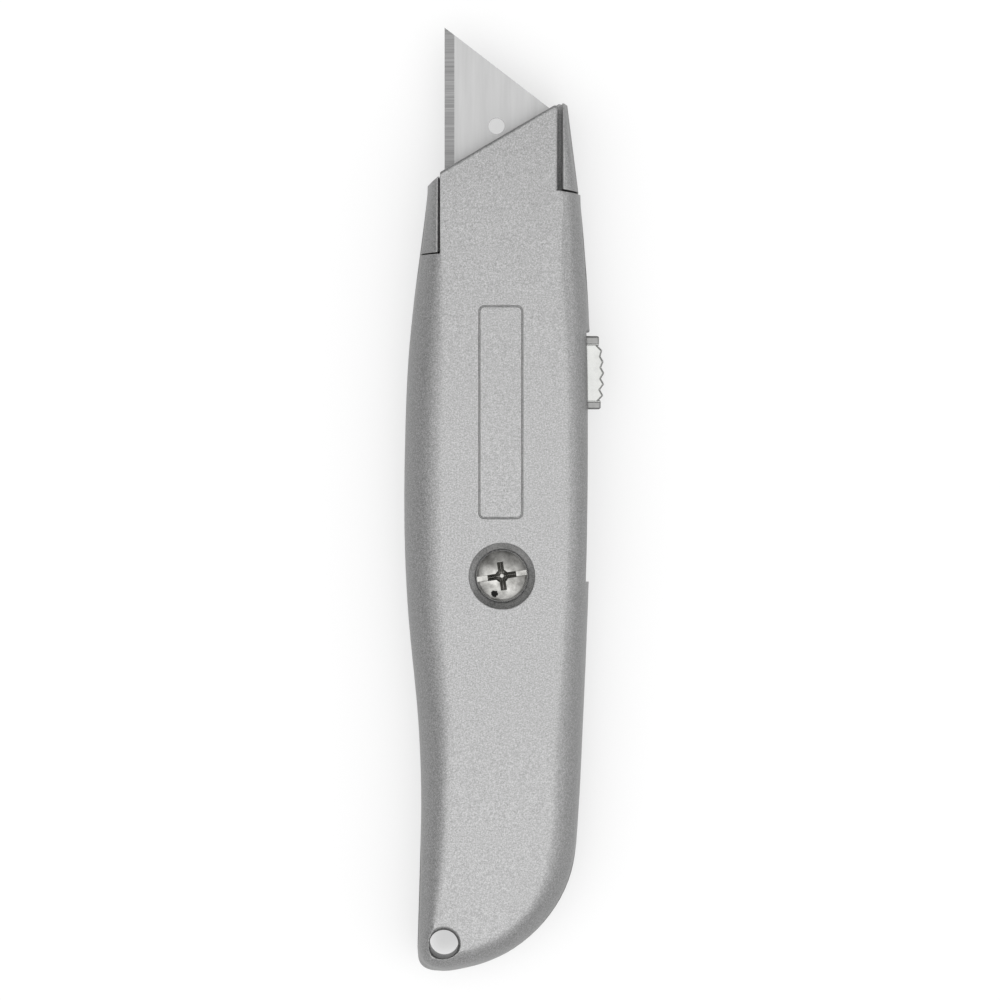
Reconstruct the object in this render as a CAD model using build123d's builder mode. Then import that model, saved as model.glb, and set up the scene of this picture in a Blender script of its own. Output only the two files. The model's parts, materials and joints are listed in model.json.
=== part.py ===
"""Retractable utility knife with a die-cast two-piece handle.

Row frame: +Y points from the handle to the blade tip, +X from the cutting edge to the thumb button,
and +Z up from the right casing, which the knife lies on, to the left casing with its screw.
The origin is on the screw's axis, on the flat outer face of the right casing.
The knife is drawn with its blade run out to the front stop.  Lengths are in millimetres.
"""

import os
from math import cos, radians, sin, sqrt

from build123d import *

os.makedirs("parts", exist_ok=True)

# ---------------------------------------------------------------- driving dimensions
HALF_THICK = 9.0  # half of the handle's thickness where the grip is flat
MID = HALF_THICK  # height of the plane where the casings meet and the blade lies
WALL = 2.1  # casting wall

FLAT_FRONT, FLAT_BACK = 30.0, -22.0  # the faces are flat between these stations
NOSE_STATION, NOSE_HALF = 88.0, 6.1  # half thickness that the faces narrow to at the nose
TAIL_STATION, TAIL_HALF = -71.5, 7.7  # and at the tail

NOSE_SLOPE = 30.4  # angle of the slanted nose to the X axis
NOSE_CORNER = (-10.3, 72.7)  # where the nose line meets the cutting edge
NOSE_WALL = 4.0  # solid metal behind the nose line

BLADE_LONG, BLADE_WIDE, BLADE_THICK = 61.9, 19.0, 0.6
BLADE_END_RUN = 14.6  # how far each end of the blade slants
BLADE_BEVEL = 1.75  # width of the ground edge
BLADE_HOLE_R, BLADE_HOLE_BACK = 1.42, 17.7  # the hole's distance back from the point
NOTCH_R, NOTCH_DEEP, NOTCH_APART = 1.6, 3.2, 9.5
EDGE_X, TIP_Y = -10.3, 98.5  # cutting edge and point, run out
BACK_X = EDGE_X + BLADE_WIDE

SLOT_FRONT, SLOT_BACK, SLOT_HALF = 43.7, -1.1, 3.8  # thumb slot along the spine
BUTTON_FRONT, BUTTON_BACK, BUTTON_HALF = 43.0, 29.9, 3.4
SLIDE_TRAVEL = 30.5
DETENTS = 4
RAIL_X = 13.1  # underside of the slot's rails

SCREW_SEAT = 2.3  # depth of the screw's recess
SEAT_R, SEAT_IN_R, HEAD_R, THREAD_R, CORE_R = 5.85, 4.75, 4.55, 2.45, 2.05
TAPPED_R, CLEAR_R, PILLAR_R = 2.5, 2.8, 4.4

LANYARD = (-10.4, -65.9)
LANYARD_R, LANYARD_WALL = 2.6, 1.8

CARRIER_TOP, CARRIER_THICK = -BLADE_THICK / 2, 1.4
FLANGE_X = BACK_X + 0.15  # inner face of the carrier's upright flange
ARM_SIDES = (5.4, 8.5)  # the carrier's tail, which clears the screw's pillars
LIP_SIDES = (-5.0, -3.8)  # its turned-down lip, which runs in a groove
STRIP_THICK, STRIP_HALF = 0.4, 2.4  # leaf spring
BUTTON_FOOT_X = 11.5  # where the button's stem stands on the spring

SPARES = 5
SPARE_EDGE_X, SPARE_TIP_Y = -11.9, 0.6

EAR_LEFT_X, EAR_RIGHT_X = -11.35, 10.85  # inner walls of the right casing's two ears
NEST_LEFT_X, NEST_RIGHT_X = -11.07, 10.0  # sides of the left casing's nose between them
EAR_LEFT_Y, EAR_RIGHT_Y = (57.4, 57.9), (68.7, 69.2)  # foot of each ear, outside and inside
SEAM = 0.25

# The body's outline where the casings meet: x, y and the width of the rounding there.
# It runs from beyond the nose down the spine, round the tail and up the belly.
OUTLINE = [
    (11.1, 92.0, 2.2),
    (12.4, 81.0, 2.4),
    (13.9, 69.0, 3.6),
    (15.0, 57.0, 5.4),
    (15.75, 44.0, 5.4),
    (15.95, 25.0, 5.0),
    (15.75, 5.0, 4.9),
    (15.2, -12.0, 5.3),
    (14.35, -31.0, 5.9),
    (13.6, -45.0, 5.7),
    (12.55, -53.0, 5.8),
    (9.7, -59.4, 5.2),
    (4.6, -65.2, 4.6),
    (-1.6, -69.0, 4.2),
    (-7.6, -70.6, 3.6),
    (-12.0, -70.75, 2.8),
    (-14.6, -69.1, 2.6),
    (-15.15, -65.5, 3.2),
    (-14.8, -54.0, 5.0),
    (-14.5, -40.0, 5.9),
    (-15.1, -25.0, 7.0),
    (-16.6, -9.5, 7.7),
    (-17.45, 6.0, 8.1),
    (-17.35, 26.0, 8.1),
    (-15.9, 48.5, 6.5),
    (-13.9, 64.0, 3.6),
    (-12.6, 77.0, 2.0),
    (-12.2, 82.0, 2.0),
]
LEVELS = (0, 2.6, 4.8, 6.6, 7.9, 8.7, 9.0)  # heights of the body's sections
FULLNESS = 0.98  # how much of a quarter ellipse the rounding follows
TAIL_CORNER = OUTLINE[15:17]  # the hollow's outline leaves these out, so its corner is wider


# ---------------------------------------------------------------- shared geometry
def above_mid(z):
    """The plane at height z above the one where the casings meet."""
    return Plane.XY.offset(MID + z)


def arc_drop(run, full_run, full_drop):
    """How far a circle that starts level has dropped after a run."""
    radius = (full_run**2 + full_drop**2) / (2 * full_drop)
    return radius - sqrt(radius**2 - run**2)


def half_thickness(y):
    """Half of the handle's thickness at station y."""
    if y > FLAT_FRONT:
        drop = arc_drop(y - FLAT_FRONT, NOSE_STATION - FLAT_FRONT, HALF_THICK - NOSE_HALF)
    elif y < FLAT_BACK:
        drop = arc_drop(FLAT_BACK - y, FLAT_BACK - TAIL_STATION, HALF_THICK - TAIL_HALF)
    else:
        drop = 0.0
    return HALF_THICK - drop


def rounded_in(z, y, rounding):
    """How far the surface has come in from the outline at height z."""
    top = half_thickness(y)
    steep = sqrt(1 - FULLNESS**2)
    if z > top:  # straight on, above the face
        return rounding * (1 - steep + FULLNESS**2 * (z - top) / (top * steep))
    return rounding * (1 - sqrt(1 - (FULLNESS * z / top) ** 2))


def outline_at(z, wall):
    """The outline at height z as a spline, moved in by the rounding and by a wall."""
    line = [station for station in OUTLINE if wall == 0 or station not in TAIL_CORNER]
    moved, along = [], [0.0]
    for i, (x, y, rounding) in enumerate(line):
        before = line[max(i - 1, 0)]
        after = line[min(i + 1, len(line) - 1)]
        run = Vector(after[0] - before[0], after[1] - before[1]).normalized()
        inner = max(rounding - 0.6 * wall, 1.0)
        into = wall + rounded_in(z * HALF_THICK / (HALF_THICK - wall), y, inner)
        moved.append(Vector(x + run.Y * into, y - run.X * into))
        if i > 0:
            along.append(along[-1] + (Vector(x, y) - Vector(*before[:2])).length)
    return Edge.make_spline(moved, parameters=[reach / along[-1] for reach in along])


def nose_y(x, back=0.0):
    """Where a line parallel to the nose, set back by so much, crosses station x."""
    slope = radians(NOSE_SLOPE)
    return NOSE_CORNER[1] + (x - NOSE_CORNER[0]) * sin(slope) / cos(slope) - back / cos(slope)


def side_view(wall=0.0):
    """The upper half of the handle seen from the side, inside a wall, as a sketch in the YZ plane."""
    top = MID + HALF_THICK - wall
    nose_top, tail_top = MID + NOSE_HALF - wall, MID + TAIL_HALF - wall
    with BuildSketch(Plane.YZ) as side:
        with BuildLine():
            Line((FLAT_BACK, top), (FLAT_FRONT, top))
            TangentArc((FLAT_FRONT, top), (NOSE_STATION, nose_top), tangent=(1, 0))
            TangentArc((FLAT_BACK, top), (TAIL_STATION, tail_top), tangent=(-1, 0))
            Polyline(
                (NOSE_STATION, nose_top),
                (100, nose_top),
                (100, MID),
                (-80, MID),
                (-80, tail_top),
                (TAIL_STATION, tail_top),
            )
        make_face()
    return side.sketch


def half_form(wall):
    """The handle above the plane where the casings meet, or the same shape inside a wall."""
    scale = (HALF_THICK - wall) / HALF_THICK
    with BuildPart() as form:
        for level in LEVELS:
            with BuildSketch(above_mid(level * scale)):
                skin = outline_at(level * scale, wall)
                with BuildLine():
                    add(skin)
                    Line(skin @ 1, skin @ 0)
                make_face()
        loft()
        extrude(side_view(wall), amount=40, both=True, mode=Mode.INTERSECT)
    return form.part


def slab(x_sides, y_sides, z_sides, mode=Mode.ADD):
    """A block between two stations on each axis, with heights counted from the middle plane."""
    with BuildSketch(above_mid(z_sides[0])) as plan:
        with Locations(((x_sides[0] + x_sides[1]) / 2, (y_sides[0] + y_sides[1]) / 2)):
            Rectangle(x_sides[1] - x_sides[0], y_sides[1] - y_sides[0])
    extrude(plan.sketch, amount=z_sides[1] - z_sides[0], mode=mode)


def prism(points, z_sides, mode=Mode.ADD):
    """A straight-sided block with this plan."""
    with BuildSketch(above_mid(z_sides[0])) as plan:
        with BuildLine():
            Polyline(*points, close=True)
        make_face()
    extrude(plan.sketch, amount=z_sides[1] - z_sides[0], mode=mode)


def post(centre, radius, z_sides, mode=Mode.ADD):
    """A round post, or with Mode.SUBTRACT a round hole, along Z."""
    with BuildSketch(above_mid(z_sides[0])) as plan:
        with Locations(centre):
            Circle(radius)
    extrude(plan.sketch, amount=z_sides[1] - z_sides[0], mode=mode)


def long_edges(part, kind, least, x_sides=(-99, 99), y_sides=(-99, 99), z_sides=(-99, 99)):
    """Edges of one kind at least so long, with their middles between these stations."""
    chosen = ShapeList()
    for edge in part.edges().filter_by(kind):
        middle = edge.center() - Vector(0, 0, MID)
        inside = x_sides[0] < middle.X < x_sides[1] and y_sides[0] < middle.Y < y_sides[1]
        if edge.length > least and inside and z_sides[0] < middle.Z < z_sides[1]:
            chosen.append(edge)
    return chosen


def rim_cutter(side):
    """What rounds the lanyard hole's rim off on the left (1) or the right (-1) casing."""
    with BuildPart() as cutter:
        with BuildSketch(Plane.XZ.offset(-LANYARD[1])):
            with BuildLine():
                Line((LANYARD[0], MID + side * 7.2), (LANYARD[0] + LANYARD_R, MID + side * 7.2))
                Spline(
                    (LANYARD[0] + LANYARD_R, MID + side * 7.2),
                    (LANYARD[0] + LANYARD_R + 0.25, MID + side * 7.75),
                    (LANYARD[0] + LANYARD_R + 0.85, MID + side * 8.2),
                )
                Polyline(
                    (LANYARD[0] + LANYARD_R + 0.85, MID + side * 8.2),
                    (LANYARD[0] + LANYARD_R + 0.85, MID + side * 9),
                    (LANYARD[0], MID + side * 9),
                    (LANYARD[0], MID + side * 7.2),
                )
            make_face()
        revolve(axis=Axis((LANYARD[0], LANYARD[1], 0), (0, 0, 1)))
    return cutter.part


FAR = 40.0  # beyond the handle in any direction
DEEP = HALF_THICK + 1  # beyond its faces
BEYOND_NOSE = [(-FAR, nose_y(-FAR)), (FAR, nose_y(FAR)), (FAR, 130), (-FAR, 130)]
BEYOND_EARS = [
    (-FAR, 48.6),
    (EAR_LEFT_X, 71.5),
    (-10.6, nose_y(-10.6)),
    (10.2, nose_y(10.2)),
    (11.2, 84.6),
    (11.75, 84.3),
    (14.0, 66.6),
    (FAR, 30),
    (FAR, 130),
    (-FAR, 130),
]
EAR_LEFT = [(-FAR, EAR_LEFT_Y[0] - 1.2), (EAR_LEFT_X, EAR_LEFT_Y[1]), (EAR_LEFT_X, 100), (-FAR, 100)]
EAR_RIGHT = [(EAR_RIGHT_X, EAR_RIGHT_Y[1]), (FAR, EAR_RIGHT_Y[0] - 4), (FAR, 100), (EAR_RIGHT_X, 100)]
NEST_LEFT = [
    (-FAR, EAR_LEFT[0][1] - SEAM),
    (NEST_LEFT_X, EAR_LEFT_Y[1] - SEAM),
    (NEST_LEFT_X, 100),
    (-FAR, 100),
]
NEST_RIGHT = [
    (NEST_RIGHT_X, EAR_RIGHT_Y[1] - SEAM),
    (FAR, EAR_RIGHT[1][1] - SEAM),
    (FAR, 100),
    (NEST_RIGHT_X, 100),
]
BLADE_GAP = 0.45  # from the middle plane to the metal each side of the blade
NOSE_INSIDE = (-9.3, 9.4)  # sides of the hollow in the nose
HOLLOW_FRONT = 67.6
HOLLOW = [
    (-FAR, -FAR * 2),
    (FAR, -FAR * 2),
    (FAR, HOLLOW_FRONT),
    (NOSE_INSIDE[1], HOLLOW_FRONT),
    (NOSE_INSIDE[1], nose_y(NOSE_INSIDE[1], NOSE_WALL)),
    (NOSE_INSIDE[0], nose_y(NOSE_INSIDE[0], NOSE_WALL)),
    (NOSE_INSIDE[0], 56.0),
    (-FAR, 56.0),
]
LEFT_NOSE_SIDE = 8.4  # the left casing's nose is narrower, so its hollow is too
WING_WAY = ((9.0, RAIL_X), (-9.0, 46.0), (0.0, 5.3))  # room for the button's wings in each casing
TIP_Y_REST = 24.6  # where the spring's tip rests in the front notch
SPARE_RIBS = (-21.5, -48.0)
RIB = 1.4

outer_half = half_form(0.0)
inner_half = half_form(WALL)


# ---------------------------------------------------------------- left casing, with the screw's head
with BuildPart() as left_hollow:
    add(inner_half)
    prism(HOLLOW, (0, DEEP), Mode.INTERSECT)
    slab((LEFT_NOSE_SIDE, FAR), (HOLLOW_FRONT, 100), (0, DEEP), Mode.SUBTRACT)
    post((0, 0), PILLAR_R, (0, DEEP), Mode.SUBTRACT)
    post((0, 0), SEAT_R + 1.8, (HALF_THICK - SCREW_SEAT - 2.0, DEEP), Mode.SUBTRACT)
    post(LANYARD, LANYARD_R + LANYARD_WALL, (0, DEEP), Mode.SUBTRACT)
    for x in (-5.0, 1.2):  # ribs that hold the blade down on its carrier
        slab((x, x + RIB), (12, 100), (BLADE_GAP, DEEP), Mode.SUBTRACT)
    for y in SPARE_RIBS:
        top = SPARES * BLADE_THICK / 2 + 0.1
        slab((-FAR, 8.0), (y - RIB / 2, y + RIB / 2), (top, DEEP), Mode.SUBTRACT)

with BuildPart() as panel:  # shallow label panel that follows the face, with a groove round it
    with BuildSketch(above_mid(4)):
        with Locations((-0.2, 29.3)):
            RectangleRounded(8.0, 38.2, 1.1)
    extrude(amount=DEEP)
    extrude(side_view(0.1), amount=FAR, both=True, mode=Mode.SUBTRACT)
with BuildPart() as panel_groove:
    with BuildSketch(above_mid(4)):
        with Locations((-0.2, 29.3)):
            RectangleRounded(8.0, 38.2, 1.1)
            RectangleRounded(7.36, 37.56, 0.78, mode=Mode.SUBTRACT)
    extrude(amount=DEEP)
    extrude(side_view(0.6), amount=FAR, both=True, mode=Mode.SUBTRACT)

with BuildPart() as left_casing:
    add(outer_half)
    prism(BEYOND_NOSE, (0, DEEP), Mode.SUBTRACT)
    prism(NEST_LEFT, (0, DEEP), Mode.SUBTRACT)
    prism(NEST_RIGHT, (0, DEEP), Mode.SUBTRACT)
    add(left_hollow.part, mode=Mode.SUBTRACT)
    add(panel.part, mode=Mode.SUBTRACT)
    add(panel_groove.part, mode=Mode.SUBTRACT)
    slab((EAR_LEFT_X, 9.15), (50, 100), (0, BLADE_GAP), Mode.SUBTRACT)
    slab((12, FAR), (SLOT_BACK, SLOT_FRONT), (0, SLOT_HALF), Mode.SUBTRACT)
    slab(*WING_WAY, Mode.SUBTRACT)
    for i in range(DETENTS):
        y = TIP_Y_REST - i * SLIDE_TRAVEL / (DETENTS - 1)
        slab((12, RAIL_X + 0.85), (y - 0.9, y + 0.9), (0, WING_WAY[2][1]), Mode.SUBTRACT)
    with BuildSketch(Plane.XZ):  # the screw's recess, with a cone round its seat
        with BuildLine():
            Polyline(
                (0, MID + HALF_THICK - SCREW_SEAT),
                (SEAT_IN_R, MID + HALF_THICK - SCREW_SEAT),
                (SEAT_IN_R, MID + HALF_THICK - 1.5),
                (SEAT_R, MID + HALF_THICK - 0.4),
                (SEAT_R, MID + DEEP),
                (0, MID + DEEP),
                close=True,
            )
        make_face()
    revolve(axis=Axis.Z, mode=Mode.SUBTRACT)
    post((0, 0), CLEAR_R, (-1, DEEP), Mode.SUBTRACT)
    post(LANYARD, LANYARD_R, (-1, DEEP), Mode.SUBTRACT)
    add(rim_cutter(1), mode=Mode.SUBTRACT)
    nose_rims = long_edges(left_casing, Axis.Z, 5.5, y_sides=(70, 90))
    nose_rims += long_edges(left_casing, GeomType.ELLIPSE, 18)
    nose_rims += long_edges(left_casing, GeomType.CIRCLE, 15, x_sides=(9, 11))
    fillet(nose_rims, 0.5)
    fillet(long_edges(left_casing, GeomType.BSPLINE, 30, x_sides=(14.5, 16), z_sides=(3, 4)), 0.3)
    front_corner = (SLOT_FRONT - 0.1, SLOT_FRONT + 0.1)
    fillet(long_edges(left_casing, GeomType.BSPLINE, 0.5, (14.9, 16), front_corner, (-4.2, 4.2)), 0.3)
    seat_rim = left_casing.edges().filter_by(GeomType.CIRCLE).filter_by(lambda rim: rim.radius == SEAT_R)
    fillet(seat_rim.sort_by(Axis.Z)[-1], 0.2)
left_casing.part.label = "left_casing"

# ---------------------------------------------------------------- right casing, which the knife lies on
below_mid = above_mid(0)
with BuildPart() as right_hollow:
    add(inner_half.mirror(below_mid))
    prism(HOLLOW, (-DEEP, 0), Mode.INTERSECT)
    post((0, 0), PILLAR_R, (-DEEP, 0), Mode.SUBTRACT)
    post(LANYARD, LANYARD_R + LANYARD_WALL, (-DEEP, 0), Mode.SUBTRACT)
    plate_foot = CARRIER_TOP - CARRIER_THICK - 0.15
    slab((LIP_SIDES[0] - 0.15 - RIB, LIP_SIDES[0] - 0.15), (14, 100), (-DEEP, -0.5), Mode.SUBTRACT)
    slab((LIP_SIDES[1] + 0.15, LIP_SIDES[1] + 0.15 + RIB), (14, 100), (-DEEP, plate_foot), Mode.SUBTRACT)
    slab((6.2, 6.2 + RIB), (-12, 100), (-DEEP, plate_foot), Mode.SUBTRACT)
    for y in SPARE_RIBS:
        top = -SPARES * BLADE_THICK / 2
        slab((-FAR, 8.0), (y - RIB / 2, y + RIB / 2), (-DEEP, top), Mode.SUBTRACT)

lugs = []
for ear in (EAR_LEFT, EAR_RIGHT):  # its ears, which reach past the middle to the left casing's face
    with BuildPart() as lug:
        add(outer_half)
        prism(BEYOND_EARS, (0, DEEP), Mode.SUBTRACT)
        prism(ear, (0, DEEP), Mode.INTERSECT)
    lugs.append(lug.part)

with BuildPart() as right_casing:
    add(outer_half.mirror(below_mid))
    prism(BEYOND_EARS, (-DEEP, 0), Mode.SUBTRACT)
    add(right_hollow.part, mode=Mode.SUBTRACT)
    slab((12, FAR), (SLOT_BACK, SLOT_FRONT), (-SLOT_HALF, 0), Mode.SUBTRACT)
    slab(WING_WAY[0], WING_WAY[1], (-WING_WAY[2][1], 0), Mode.SUBTRACT)
    for i in range(DETENTS):
        y = TIP_Y_REST - i * SLIDE_TRAVEL / (DETENTS - 1)
        slab((12, RAIL_X + 0.85), (y - 0.9, y + 0.9), (-WING_WAY[2][1], 0), Mode.SUBTRACT)
    for lug in lugs:
        add(lug)
    slab((EAR_LEFT_X, 9.15), (50, 100), (-BLADE_GAP, 1), Mode.SUBTRACT)
    for y in (-20.0, -41.0):  # posts behind the backs of the spare blades
        post((SPARE_EDGE_X + BLADE_WIDE + 1.25, y), 1.1, (-7.5, 1.4))
    post((0, 0), TAPPED_R, (-6.2, 0.1), Mode.SUBTRACT)
    post(LANYARD, LANYARD_R, (-DEEP, 0.1), Mode.SUBTRACT)
    add(rim_cutter(-1), mode=Mode.SUBTRACT)
    ear_rims = long_edges(right_casing, GeomType.BSPLINE, 10, (-12, -11), (60, 80), (5, 9))
    ear_rims += long_edges(right_casing, GeomType.BSPLINE, 10, (10, 11.5), (60, 80), (5, 9))
    chamfer(ear_rims, 0.4)
    fillet(long_edges(right_casing, GeomType.BSPLINE, 30, x_sides=(14.5, 16), z_sides=(-4, -3)), 0.3)
    fillet(long_edges(right_casing, GeomType.BSPLINE, 0.5, (14.9, 16), front_corner, (-4.2, 4.2)), 0.3)
right_casing.part.label = "right_casing"

# ---------------------------------------------------------------- screw
SCREW_FOOT = -5.6
THREAD_TOP, PITCH = -0.4, 0.9
SEAT_Z = HALF_THICK - SCREW_SEAT
DRIVE_TURN = 8.3  # how far the drive's slot stands turned from +X

with BuildPart() as casing_screw:
    with BuildSketch(Plane.XZ.offset(0)):
        with BuildLine():
            outline = Polyline(
                (0, MID + SCREW_FOOT - 0.3),
                (CORE_R - 0.4, MID + SCREW_FOOT - 0.3),
                (CORE_R, MID + SCREW_FOOT),
            )
            z = MID + SCREW_FOOT
            for i in range(int((THREAD_TOP - SCREW_FOOT) / PITCH)):
                Polyline(
                    (CORE_R, z),
                    (THREAD_R, z + 0.35 * PITCH),
                    (THREAD_R, z + 0.5 * PITCH),
                    (CORE_R, z + 0.85 * PITCH),
                    (CORE_R, z + PITCH),
                )
                z += PITCH
            head_side = Polyline(
                (CORE_R, z),
                (THREAD_R, z + 0.4),
                (THREAD_R, MID + SEAT_Z + 0.02),
                (HEAD_R - 0.25, MID + SEAT_Z + 0.02),
                (HEAD_R, MID + SEAT_Z + 0.27),
                (HEAD_R, MID + SEAT_Z + 0.95),
            )
            dome = ThreePointArc(
                (HEAD_R, MID + SEAT_Z + 0.95),
                (HEAD_R * 0.62, MID + SEAT_Z + 1.78),
                (0, MID + SEAT_Z + 2.1),
            )
            Line(dome @ 1, outline @ 0)
        make_face()
    revolve(axis=Axis.Z)
    with BuildSketch(above_mid(SEAT_Z + 1.0)):
        Rectangle(12, 0.97, rotation=DRIVE_TURN)
    extrude(amount=3, mode=Mode.SUBTRACT)
    for turn in (DRIVE_TURN, DRIVE_TURN + 90):  # arms of the cross, narrower at their floor
        along = Vector(cos(radians(turn)), sin(radians(turn)), 0)
        with BuildSketch(Plane((0, 0, MID + SEAT_Z), x_dir=(-along.Y, along.X, 0), z_dir=along)):
            with BuildLine():
                Polyline((-0.55, 2.3), (0.55, 2.3), (0.47, 0.95), (0, 0.3), (-0.47, 0.95), close=True)
            make_face()
        extrude(amount=2.55, both=True, mode=Mode.SUBTRACT)
    with Locations((0, 0, MID + SEAT_Z + 1.3)):  # its middle
        Cone(0.35, 1.25, 2.0, mode=Mode.SUBTRACT)
casing_screw.part.label = "casing_screw"


# ---------------------------------------------------------------- blades
def blade(edge_x, tip_y, low):
    """A two-ended trapezoid blade with its edge along -X, its point at tip_y and its lower face at low."""
    back, heel = edge_x + BLADE_WIDE, tip_y - BLADE_LONG
    half = BLADE_THICK / 2
    centre = MID + low + half
    with BuildPart() as steel:
        with BuildSketch(Plane.XZ):
            with BuildLine():
                Polyline(
                    (edge_x, centre - 0.04),
                    (edge_x + BLADE_BEVEL, centre - half),
                    (back, centre - half),
                    (back, centre + half),
                    (edge_x + BLADE_BEVEL, centre + half),
                    (edge_x, centre + 0.04),
                    close=True,
                )
            make_face()
        extrude(amount=120, both=True)
        outline = [
            (edge_x, tip_y),
            (back + 1, tip_y - BLADE_END_RUN * (1 + 1 / BLADE_WIDE)),
            (back + 1, heel + BLADE_END_RUN * (1 + 1 / BLADE_WIDE)),
            (edge_x, heel),
        ]
        prism(outline, (low - 1, low + 2), Mode.INTERSECT)
        for y in (tip_y - BLADE_HOLE_BACK, heel + BLADE_HOLE_BACK):
            post((edge_x + 9.33, y), BLADE_HOLE_R, (low - 1, low + 2), Mode.SUBTRACT)
        for y in (tip_y - (BLADE_LONG - NOTCH_APART) / 2, tip_y - (BLADE_LONG + NOTCH_APART) / 2):
            deep = back - NOTCH_DEEP + NOTCH_R
            post((deep, y), NOTCH_R, (low - 1, low + 2), Mode.SUBTRACT)
            slab((deep, back + 1), (y - NOTCH_R, y + NOTCH_R), (low - 1, low + 2), Mode.SUBTRACT)
    return steel.part


cutting_blade = blade(EDGE_X, TIP_Y, -BLADE_THICK / 2)
cutting_blade.label = "cutting_blade"
spares = []
for i in range(SPARES):
    spare = blade(SPARE_EDGE_X, SPARE_TIP_Y, (i - SPARES / 2) * BLADE_THICK)
    spare.label = f"spare_blade_{i + 1}"
    spares.append(spare)

# ---------------------------------------------------------------- blade carrier with its pegs
PLATE = (CARRIER_TOP - CARRIER_THICK, CARRIER_TOP)
PLATE_BACK = 48.0
FLANGE_FRONT = 66.5
FLANGE_OUT = FLANGE_X + CARRIER_THICK
PEG_R = 1.3
PEG_X = BACK_X - NOTCH_DEEP + NOTCH_R
PEG_YS = (TIP_Y - (BLADE_LONG - NOTCH_APART) / 2, TIP_Y - (BLADE_LONG + NOTCH_APART) / 2)
RIVET_YS = (58.5, 52.0)
RIVET_R = 0.9


def pin(y, radius, x_sides, mode=Mode.ADD):
    """A round pin, or with Mode.SUBTRACT a round hole, along X on the middle plane."""
    with BuildSketch(Plane.YZ.offset(x_sides[0])) as plan:
        with Locations((y, MID)):
            Circle(radius)
    extrude(plan.sketch, amount=x_sides[1] - x_sides[0], mode=mode)


with BuildPart() as blade_carrier:
    front = NOSE_WALL + 0.4
    plate_plan = [
        (LIP_SIDES[0], PLATE_BACK),
        (FLANGE_OUT, PLATE_BACK),
        (FLANGE_OUT, FLANGE_FRONT),
        (BACK_X, FLANGE_FRONT),
        (BACK_X, nose_y(BACK_X, front)),
        (LIP_SIDES[0], nose_y(LIP_SIDES[0], front)),
    ]
    prism(plate_plan, PLATE)
    slab(LIP_SIDES, (52, nose_y(LIP_SIDES[0], front)), (PLATE[0] - 1.6, PLATE[1]))
    slab((FLANGE_X, FLANGE_OUT), (PLATE_BACK, FLANGE_FRONT), (PLATE[0], 3.2))
    slab(ARM_SIDES, (20, PLATE_BACK + 1), PLATE)
    with BuildSketch(above_mid(PLATE[0])):  # lightening window
        with Locations((1.6, 57.5)):
            RectangleRounded(7.0, 11.0, 1.5)
    extrude(amount=CARRIER_THICK, mode=Mode.SUBTRACT)
    for y in PEG_YS:
        post((PEG_X, y), PEG_R, (PLATE[0] - 1, PLATE[1] + 1), Mode.SUBTRACT)
    for y in RIVET_YS:
        pin(y, RIVET_R, (FLANGE_X - 1, FLANGE_OUT + 1), Mode.SUBTRACT)
    inside_bends = blade_carrier.edges().filter_by(Axis.Y).group_by(Axis.Z)[-1]
    fillet(inside_bends, 0.3)
blade_carrier.part.label = "blade_carrier"

pegs = []
for name, y in zip(("front_blade_peg", "rear_blade_peg"), PEG_YS):
    with BuildPart() as peg:
        post((PEG_X, y), PEG_R, (PLATE[0], BLADE_THICK / 2 + 0.1))
        chamfer(peg.edges().filter_by(GeomType.CIRCLE).sort_by(Axis.Z)[-1], 0.15)
    peg.part.label = name
    pegs.append(peg.part)

# ---------------------------------------------------------------- leaf spring with its rivets
STRIP_MID = STRIP_THICK / 2
STRIP_LINE = [
    (FLANGE_OUT + STRIP_MID, 64.5),
    (FLANGE_OUT + STRIP_MID, 47.0),
    (BUTTON_FOOT_X - 0.02 - STRIP_MID, 43.5),
    (BUTTON_FOOT_X - 0.02 - STRIP_MID, 25.9),
    (RAIL_X + 0.45, TIP_Y_REST),
]
BUTTON_MID = 36.5

with BuildPart() as leaf_spring:
    with BuildSketch(above_mid(-STRIP_HALF)):
        with BuildLine():
            FilletPolyline(*STRIP_LINE, radius=0.8)
        trace(line_width=STRIP_THICK)
    extrude(amount=2 * STRIP_HALF)
    with BuildSketch(above_mid(-5.0)):  # cross bar that clicks into the casings' notches
        with BuildLine():
            tip = Vector(*STRIP_LINE[-1])
            root = Vector(*STRIP_LINE[-2])
            Line(tip, tip + (root - tip) * 0.55)
        trace(line_width=STRIP_THICK)
    extrude(amount=10.0)
    for y in RIVET_YS:
        pin(y, RIVET_R, (FLANGE_OUT - 0.1, FLANGE_OUT + 1), Mode.SUBTRACT)
    pin(BUTTON_MID, RIVET_R + 0.15, (BUTTON_FOOT_X - 1, BUTTON_FOOT_X + 0.2), Mode.SUBTRACT)
leaf_spring.part.label = "leaf_spring"

rivets = []
for name, y in zip(("front_spring_rivet", "rear_spring_rivet"), RIVET_YS):
    with BuildPart() as rivet:
        pin(y, RIVET_R, (FLANGE_X + 0.02, FLANGE_OUT + STRIP_THICK))
        pin(y, 1.6, (FLANGE_OUT + STRIP_THICK, FLANGE_OUT + STRIP_THICK + 0.6))
        fillet(rivet.edges().filter_by(GeomType.CIRCLE).sort_by(Axis.X)[-1], 0.4)
    rivet.part.label = name
    rivets.append(rivet.part)

# ---------------------------------------------------------------- thumb button
RIDGES = 5
RIDGE_FRONT, RIDGE_BACK = 41.35, 31.35
CREST = 18.05  # height of the ridges' crests, highest in the middle of the row
CAP_FOOT = 13.3
WING_X = (11.75, 12.95)
STEM_YS = (32.0, 41.0)
LIP_HALF = 3.15  # the lipped ends are a little narrower than the ridged block

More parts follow.
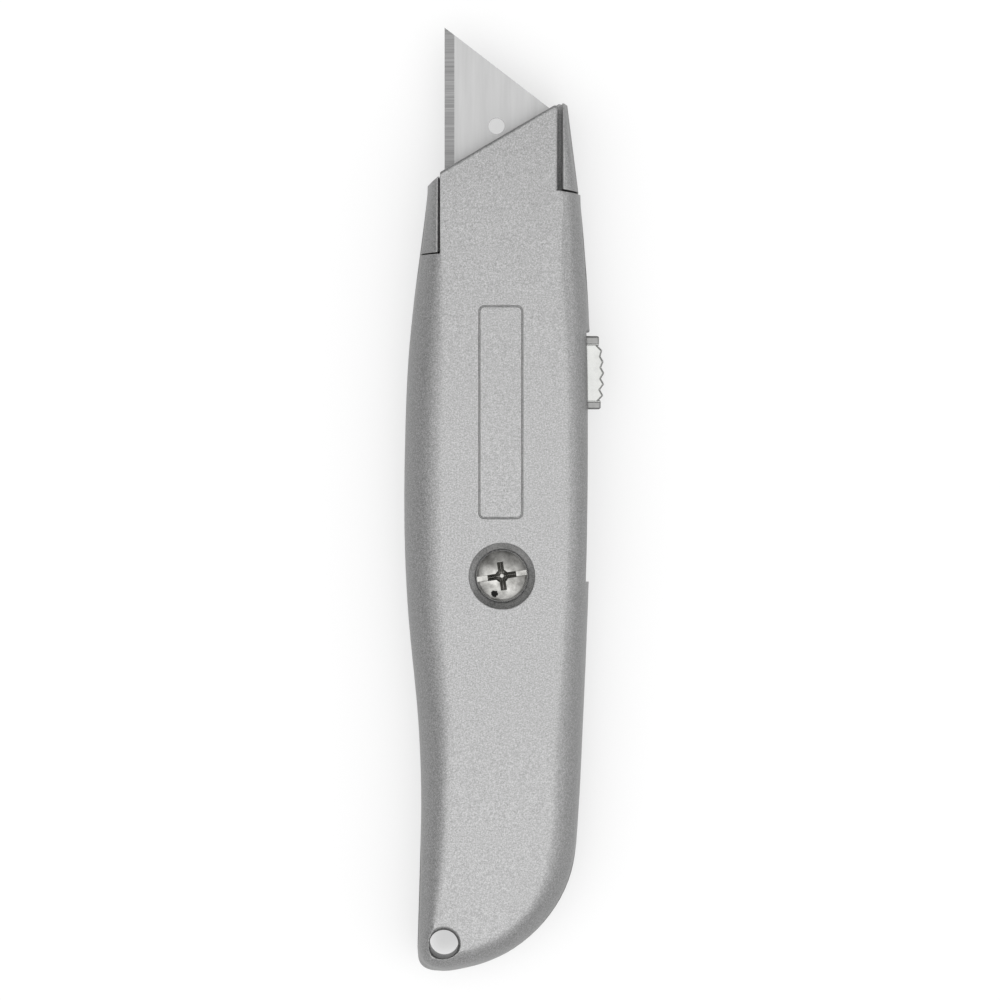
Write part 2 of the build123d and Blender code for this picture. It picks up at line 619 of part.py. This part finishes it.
lips = []
for y_sides, lip_top in (
    ((BUTTON_BACK, RIDGE_BACK + 0.2), 17.72),
    ((RIDGE_FRONT - 0.2, BUTTON_FRONT), 17.42),
):
    with BuildPart() as lip:
        slab((CAP_FOOT, lip_top), y_sides, (-LIP_HALF, LIP_HALF))
        fillet(lip.edges().filter_by(Axis.X), 0.4)
        fillet(lip.faces().sort_by(Axis.X)[-1].edges(), 0.35)
    lips.append(lip.part)

with BuildPart() as thumb_button:
    step = (RIDGE_FRONT - RIDGE_BACK) / RIDGES
    ridge_line = [(CAP_FOOT, RIDGE_BACK), (17.3, RIDGE_BACK)]
    for i in range(RIDGES):
        y = RIDGE_BACK + (i + 0.5) * step
        bow = 0.27 * (1 - ((i - 1.7) / 2.0) ** 2)
        ridge_line.append((CREST + bow, y - 0.12))
        ridge_line.append((CREST + bow, y + 0.12))
        if i < RIDGES - 1:
            ridge_line.append((CREST - 0.5 + bow, y + step / 2))
    ridge_line.extend([(17.1, RIDGE_FRONT), (CAP_FOOT, RIDGE_FRONT)])
    prism(ridge_line, (-BUTTON_HALF, BUTTON_HALF))
    for faces in thumb_button.faces().sort_by(Axis.Z)[::len(thumb_button.faces()) - 1]:
        chamfer(faces.edges().filter_by(lambda edge: edge.center().X > 17.2), 0.3)
    for lip in lips:
        add(lip)
    for y in (RIDGE_BACK - 0.12, RIDGE_FRONT + 0.12):
        for side in (-1, 1):
            groove = sorted((side * (LIP_HALF - 0.3), side * 4))
            slab((CAP_FOOT + 0.4, 19), (y - 0.13, y + 0.13), groove, Mode.SUBTRACT)
    slab((BUTTON_FOOT_X, CAP_FOOT), STEM_YS, (-BUTTON_HALF, BUTTON_HALF))
    slab(WING_X, STEM_YS, (-5.0, 5.0))
    pin(BUTTON_MID, RIVET_R, (BUTTON_FOOT_X - 1, BUTTON_FOOT_X + 1.6), Mode.SUBTRACT)
thumb_button.part.label = "thumb_button"

with BuildPart() as button_rivet:
    pin(BUTTON_MID, RIVET_R, (BUTTON_FOOT_X - STRIP_THICK - 0.2, BUTTON_FOOT_X + 1.5))
    pin(BUTTON_MID, 1.6, (BUTTON_FOOT_X - STRIP_THICK - 0.8, BUTTON_FOOT_X - STRIP_THICK - 0.2))
    fillet(button_rivet.edges().filter_by(GeomType.CIRCLE).sort_by(Axis.X)[0], 0.35)
button_rivet.part.label = "button_rivet"

# ---------------------------------------------------------------- write the pieces
pieces = [left_casing.part, right_casing.part, casing_screw.part, cutting_blade, *spares]
pieces += [blade_carrier.part, *pegs, leaf_spring.part, *rivets, thumb_button.part, button_rivet.part]
for piece in pieces:
    export_step(piece, f"parts/{piece.label}.step")
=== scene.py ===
"""Looks for the utility knife: materials, a copy of the leaf spring cut across into strips, studio and
camera on the CAD frame.
"""

import json
from math import pi

import bmesh
import bpy
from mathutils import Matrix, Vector


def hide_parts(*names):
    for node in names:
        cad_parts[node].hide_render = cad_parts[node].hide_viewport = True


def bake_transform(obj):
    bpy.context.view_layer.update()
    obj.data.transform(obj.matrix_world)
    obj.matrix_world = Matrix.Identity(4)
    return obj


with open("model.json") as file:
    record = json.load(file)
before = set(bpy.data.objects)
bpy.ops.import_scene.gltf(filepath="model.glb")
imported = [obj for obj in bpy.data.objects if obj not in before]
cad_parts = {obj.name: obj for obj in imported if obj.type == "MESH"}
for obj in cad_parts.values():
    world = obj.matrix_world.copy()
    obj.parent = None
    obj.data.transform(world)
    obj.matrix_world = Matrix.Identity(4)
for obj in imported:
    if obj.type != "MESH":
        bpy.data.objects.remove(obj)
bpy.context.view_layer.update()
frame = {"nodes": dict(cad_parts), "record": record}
nodes = frame["nodes"]

# ---------------------------------------------------------------- places on the knife, in metres
LANYARD = (-0.0104, -0.0659)  # axis of the lanyard hole
LANYARD_CLEAR = 0.0042  # creases stay sharp this close to that axis
CREASE_SIDE = 0.0074  # the side creases lie further than this from the middle line
CREASE_TAIL, CREASE_FRONT = -0.052, 0.0555  # the tail's lie behind the first, and all behind the second
DIRT = (-0.0013, -0.0032)  # a speck of dirt on the screw's head
BLOCK_BACK, BLOCK_FRONT = 0.03123, 0.04147  # the button's ridged block lies between these stations
BEND_ROOT, BEND_FREE = 0.047, 0.0415  # the spring bends between its rear rivet and the button's foot
BEND_CUTS = 14

# Radii that corners are shaded with
PAINT_CORNER, CREASE_CORNER, SCREW_CORNER, BUTTON_CORNER = 0.00022, 0.0018, 0.00012, 0.00015

# ---------------------------------------------------------------- studio
SKY = ((0.0, 0.5), (0.3, 0.75), (0.6, 1.5), (0.85, 2.3), (1.0, 2.6))  # brightness by height
NORTH = ((0.42, 1.12), (0.5, 1.0), (0.6, 0.78), (0.75, 0.5), (1.0, 0.4))  # and from -Y to +Y
TOP, SIDE = 0.3, 1.7  # brightness of the two soft lights
FLOOR_WIDE, FLOOR_Z = 6, -0.0002
FLOOR_GREY, FLOOR_GLOW = 0.3, 0.55

EYE_PLACE = (-0.00034, 0.01358, 1.412)
EYE_DISTANCE = 1.4  # from the camera to the level where the picture's width is measured
PICTURE_WIDE = 0.1794
SENSOR_WIDE = 36  # millimetres


# ---------------------------------------------------------------- node helpers
def grey(value):
    return (value, value, value, 1)


def feed(tree, socket, value):
    """Links a node's output to a socket, or gives the socket a plain number or colour."""
    if hasattr(value, "is_output"):
        tree.links.new(value, socket)
    else:
        socket.default_value = value


def colour_ramp(tree, value, stops):
    """A ramp through stops, each a position with a brightness or a colour."""
    node = tree.nodes.new("ShaderNodeValToRGB")
    steps = node.color_ramp.elements
    while len(steps) < len(stops):
        steps.new(0.5)
    for step, (position, colour) in zip(steps, stops):
        step.position = position
        step.color = colour if hasattr(colour, "__len__") else grey(colour)
    tree.links.new(value, node.inputs[0])
    return node.outputs[0]


class Nodes:
    """A material's node tree, with short calls for the nodes used here."""

    def __init__(self, name):
        self.material = bpy.data.materials.new(name)
        self.material.use_nodes = True
        self.tree = self.material.node_tree
        self.tree.nodes.clear()
        self.shader = self.tree.nodes.new("ShaderNodeBsdfPrincipled")
        out = self.tree.nodes.new("ShaderNodeOutputMaterial")
        self.link(self.shader.outputs[0], out.inputs["Surface"])
        self.place = self.tree.nodes.new("ShaderNodeTexCoord").outputs["Object"]

    def link(self, source, target):
        self.tree.links.new(source, target)

    def set(self, socket, value):
        """Gives one of the shader's sockets a value or a link."""
        feed(self.tree, self.shader.inputs[socket], value)

    def split(self, vector):
        """A vector's X, Y and Z."""
        node = self.tree.nodes.new("ShaderNodeSeparateXYZ")
        self.link(vector, node.inputs[0])
        return node.outputs["X"], node.outputs["Y"], node.outputs["Z"]

    def stretch(self, scale):
        """The place on the piece, scaled by its own number on each axis."""
        node = self.tree.nodes.new("ShaderNodeMapping")
        node.inputs["Scale"].default_value = scale
        self.link(self.place, node.inputs["Vector"])
        return node.outputs[0]

    def noise(self, scale, detail, rough, place=None):
        node = self.tree.nodes.new("ShaderNodeTexNoise")
        node.inputs["Scale"].default_value = scale
        node.inputs["Detail"].default_value = detail
        node.inputs["Roughness"].default_value = rough
        self.link(place or self.place, node.inputs["Vector"])
        return node.outputs["Fac"]

    def ramp(self, value, *stops):
        return colour_ramp(self.tree, value, stops)

    def math(self, kind, first, second=0.0):
        node = self.tree.nodes.new("ShaderNodeMath")
        node.operation = kind
        feed(self.tree, node.inputs[0], first)
        feed(self.tree, node.inputs[1], second)
        return node.outputs[0]

    def mix(self, share, first, second):
        node = self.tree.nodes.new("ShaderNodeMix")
        node.data_type = "RGBA"
        for socket, value in ((0, share), (6, first), (7, second)):
            feed(self.tree, node.inputs[socket], value)
        return node.outputs[2]

    def squared_reach(self, point):
        """The squared distance, seen from above, from a point."""
        x, y, _ = self.split(self.place)
        across = self.math("SUBTRACT", x, point[0])
        along = self.math("SUBTRACT", y, point[1])
        return self.math("ADD", self.math("MULTIPLY", across, across), self.math("MULTIPLY", along, along))

    def corners(self, radius):
        """The normal with corners rounded to a radius, and a mask of where that changes it."""
        node = self.tree.nodes.new("ShaderNodeBevel")
        node.samples = 6
        node.inputs["Radius"].default_value = radius
        flat = self.tree.nodes.new("ShaderNodeNewGeometry").outputs["Normal"]
        turn = self.tree.nodes.new("ShaderNodeVectorMath")
        turn.operation = "DOT_PRODUCT"
        self.link(node.outputs[0], turn.inputs[0])
        self.link(flat, turn.inputs[1])
        return node.outputs[0], self.ramp(turn.outputs["Value"], (0.86, 1), (0.99, 0))

    def crease_zone(self):
        """A mask of the casing's sides and tail, short of the ears and clear of the lanyard hole."""
        x, y, _ = self.split(self.place)
        side = self.math("GREATER_THAN", self.math("ABSOLUTE", x), CREASE_SIDE)
        tail = self.math("LESS_THAN", y, CREASE_TAIL)
        behind = self.math("LESS_THAN", y, CREASE_FRONT)
        clear = self.math("GREATER_THAN", self.squared_reach(LANYARD), LANYARD_CLEAR**2)
        return self.math("MULTIPLY", self.math("MULTIPLY", self.math("MAXIMUM", side, tail), behind), clear)

    def bump(self, height, strength, depth, normal=None):
        """Gives the shader a bumpy normal, on top of another one if there is one."""
        node = self.tree.nodes.new("ShaderNodeBump")
        node.inputs["Strength"].default_value = strength
        node.inputs["Distance"].default_value = depth
        self.link(height, node.inputs["Height"])
        if normal is not None:
            self.link(normal, node.inputs["Normal"])
        self.set("Normal", node.outputs[0])


# ---------------------------------------------------------------- materials
def casting_paint():
    """Fine sandy silver paint: two sizes of flake, soft clouds, rubbed corners lightened partly as wear and
    partly as a painted edge highlight, and blended creases.
    """
    m = Nodes("casting_paint")
    flake = m.noise(5600, 2, 0.6)
    sand = m.noise(3000, 2, 0.55)
    cloud = m.noise(45, 3, 0.5)
    grit = m.math("ADD", m.math("MULTIPLY", flake, 0.6), m.math("MULTIPLY", sand, 0.4))
    base = m.ramp(grit, (0.36, 0.157), (0.5, 0.247), (0.64, 0.358))
    base = m.mix(m.ramp(cloud, (0.35, 0), (0.7, 0.12)), base, grey(0.21))
    corner, worn_and_lit_edge = m.corners(PAINT_CORNER)
    # lighter colour along corners and creases: partly rubbed paint, partly a painted highlight standing in
    # for light caught on the edges
    rub_and_highlight = m.math("MULTIPLY", worn_and_lit_edge, m.ramp(m.noise(420, 3, 0.6), (0.4, 0.1), (0.6, 0.8)))
    m.set("Base Color", m.mix(rub_and_highlight, base, (0.4, 0.4, 0.39, 1)))
    m.set("Metallic", 0.9)
    m.set("Roughness", m.ramp(grit, (0.36, 0.41), (0.64, 0.52)))
    soft, _ = m.corners(CREASE_CORNER)
    m.bump(grit, 0.4, 0.00005, m.mix(m.crease_zone(), corner, soft))
    return m.material


def nickel():
    """Bright plating with a little tarnish, and a speck of dirt on the head."""
    m = Nodes("nickel")
    haze = m.noise(700, 3, 0.6)
    tarnish = m.noise(420, 3, 0.6)
    plate = m.ramp(tarnish, (0.35, (0.15, 0.148, 0.141, 1)), (0.62, (0.33, 0.326, 0.314, 1)))
    reach = m.math("SQRT", m.squared_reach(DIRT))
    ragged = m.math("ADD", reach, m.math("MULTIPLY", m.noise(2600, 2, 0.6), 0.0007))
    millimetres = m.math("MULTIPLY", ragged, 1000)
    speck = m.ramp(millimetres, (0.92, 1), (1.0, 0))
    m.set("Base Color", m.mix(speck, plate, grey(0.02)))
    m.set("Metallic", 1.0)
    m.set("Roughness", m.mix(speck, m.ramp(haze, (0.3, 0.16), (0.7, 0.3)), grey(0.8)))
    normal, _ = m.corners(SCREW_CORNER)
    m.bump(haze, 0.12, 0.00002, normal)
    return m.material


def blade_steel():
    """Matt rolled faces, and a darker ground edge with fine lines across it."""
    m = Nodes("blade_steel")
    rolled = m.noise(1, 2, 0.6, m.stretch((900, 60, 900)))
    ground = m.noise(1, 3, 0.7, m.stretch((40, 5200, 40)))
    stain = m.noise(90, 3, 0.55)
    face = m.ramp(rolled, (0.3, 0.256), (0.7, 0.284))
    face = m.mix(m.ramp(stain, (0.5, 0), (0.75, 0.25)), face, grey(0.23))
    _, _, upright = m.split(m.tree.nodes.new("ShaderNodeTexCoord").outputs["Normal"])
    flat = m.ramp(m.math("ABSOLUTE", upright), (0.9905, 0), (0.9985, 1))
    edge = m.ramp(ground, (0.3, 0.1), (0.5, 0.155), (0.7, 0.22))
    m.set("Base Color", m.mix(flat, edge, face))
    m.set("Metallic", 0.85)
    m.set("Roughness", m.ramp(flat, (0, 0.42), (1, 0.38)))
    m.bump(m.mix(flat, ground, rolled), 0.12, 0.00003)
    return m.material


def bright_zinc():
    """Polished sides on the ridged block, and duller cast ends."""
    m = Nodes("bright_zinc")
    grain = m.noise(700, 3, 0.6)
    _, y, _ = m.split(m.place)
    ends = m.math("MAXIMUM", m.math("LESS_THAN", y, BLOCK_BACK), m.math("GREATER_THAN", y, BLOCK_FRONT))
    block = m.ramp(grain, (0.3, (0.27, 0.272, 0.266, 1)), (0.7, (0.31, 0.312, 0.305, 1)))
    cast = m.ramp(grain, (0.3, (0.15, 0.15, 0.148, 1)), (0.7, (0.205, 0.205, 0.202, 1)))
    m.set("Base Color", m.mix(ends, block, cast))
    m.set("Metallic", 1.0)
    dullness = m.math("ADD", m.math("MULTIPLY", grain, 0.3), m.math("MULTIPLY", ends, 0.4))
    m.set("Roughness", m.ramp(dullness, (0.0, 0.2), (0.7, 0.45)))
    normal, _ = m.corners(BUTTON_CORNER)
    m.bump(grain, 0.15, 0.00002, normal)
    return m.material


def steel(name, low, high, roughness, scale=900):
    """Grained metal between two colours, with clouds of the darker one."""
    m = Nodes(name)
    grain = m.noise(scale, 3, 0.6)
    cloud = m.noise(scale / 9, 2, 0.5)
    grained = m.ramp(grain, (0.3, low), (0.7, high))
    m.set("Base Color", m.mix(m.ramp(cloud, (0.4, 0), (0.7, 0.6)), grained, low))
    m.set("Metallic", 1.0)
    m.set("Roughness", m.ramp(grain, (0.3, roughness * 0.8), (0.7, roughness * 1.25)))
    m.bump(grain, 0.15, 0.00002)
    return m.material


looks = {
    "casting": casting_paint(),
    "screw": nickel(),
    "blade": blade_steel(),
    "carrier": steel("plated_steel", (0.42, 0.42, 0.38, 1), (0.55, 0.54, 0.47, 1), 0.36),
    "spring": steel("spring_steel", (0.2, 0.23, 0.3, 1), (0.36, 0.38, 0.42, 1), 0.3, 600),
    "rivet": steel("rivet_steel", (0.45, 0.44, 0.42, 1), (0.6, 0.58, 0.55, 1), 0.3),
    "button": bright_zinc(),
}
for part in frame["record"]["subparts"]:
    mesh = nodes[part["node"]].data
    mesh.materials.clear()
    mesh.materials.append(looks[part["material_slot"]])


# ---------------------------------------------------------------- leaf spring
def bending_spring():
    """A copy of the CAD strip, cut across at even steps between its rear rivet and the button's foot, in
    place of the hidden rigid one.
    """
    rigid = nodes["leaf_spring"]
    strip = bpy.data.objects.new("bending_leaf_spring", rigid.data.copy())
    bpy.context.collection.objects.link(strip)
    shape = bmesh.new()
    shape.from_mesh(strip.data)
    shape.transform(rigid.matrix_world)
    for i in range(BEND_CUTS + 1):
        y = BEND_ROOT + (BEND_FREE - BEND_ROOT) * i / BEND_CUTS
        whole = shape.verts[:] + shape.edges[:] + shape.faces[:]
        bmesh.ops.bisect_plane(shape, geom=whole, plane_co=(0, y, 0), plane_no=(0, 1, 0))
    shape.to_mesh(strip.data)
    shape.free()
    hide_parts("leaf_spring")
    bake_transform(strip)


bending_spring()

# ---------------------------------------------------------------- floor, light and camera
bpy.ops.mesh.primitive_plane_add(size=FLOOR_WIDE, location=(0, 0, FLOOR_Z))
floor = bpy.context.object
floor.name = "floor"
pale = Nodes("pale_floor")
pale.set("Base Color", grey(FLOOR_GREY))
pale.set("Roughness", 0.9)
pale.set("Specular IOR Level", 0.0)
pale.set("Emission Color", grey(1.0))
pale.set("Emission Strength", FLOOR_GLOW)
floor.data.materials.append(pale.material)

world = bpy.data.worlds.new("studio")
bpy.context.scene.world = world
world.use_nodes = True
sky = world.node_tree
direction = sky.nodes.new("ShaderNodeSeparateXYZ")
sky.links.new(sky.nodes.new("ShaderNodeTexCoord").outputs["Generated"], direction.inputs[0])
northing = sky.nodes.new("ShaderNodeMapRange")
northing.inputs["From Min"].default_value = -1
sky.links.new(direction.outputs["Y"], northing.inputs["Value"])
both = sky.nodes.new("ShaderNodeMix")
both.data_type = "RGBA"
both.blend_type = "MULTIPLY"
both.inputs[0].default_value = 1
sky.links.new(colour_ramp(sky, direction.outputs["Z"], SKY), both.inputs[6])
sky.links.new(colour_ramp(sky, northing.outputs[0], NORTH), both.inputs[7])
sky.links.new(both.outputs[2], sky.nodes["Background"].inputs[0])


def soft_box(name, place, size, radiance):
    """A rectangular light of that even brightness, turned to face the origin."""
    lamp = bpy.data.lights.new(name, "AREA")
    lamp.shape = "RECTANGLE"
    lamp.size, lamp.size_y = size
    lamp.energy = radiance * size[0] * size[1] * pi
    holder = bpy.data.objects.new(name, lamp)
    bpy.context.collection.objects.link(holder)
    holder.location = place
    holder.rotation_euler = (-Vector(place)).to_track_quat("-Z", "Y").to_euler()


soft_box("top_light", (0.0, -0.15, 1.5), (1.1, 1.1), TOP)
soft_box("side_light", (1.6, 0.2, 0.45), (0.9, 0.7), SIDE)

eye = bpy.data.cameras.new("camera")
eye.sensor_width = SENSOR_WIDE
eye.lens = SENSOR_WIDE * EYE_DISTANCE / PICTURE_WIDE
eye.clip_end = 20
camera = bpy.data.objects.new("camera", eye)
bpy.context.collection.objects.link(camera)
camera.location = EYE_PLACE
bpy.context.scene.camera = camera
bpy.context.scene.view_settings.view_transform = "Standard"
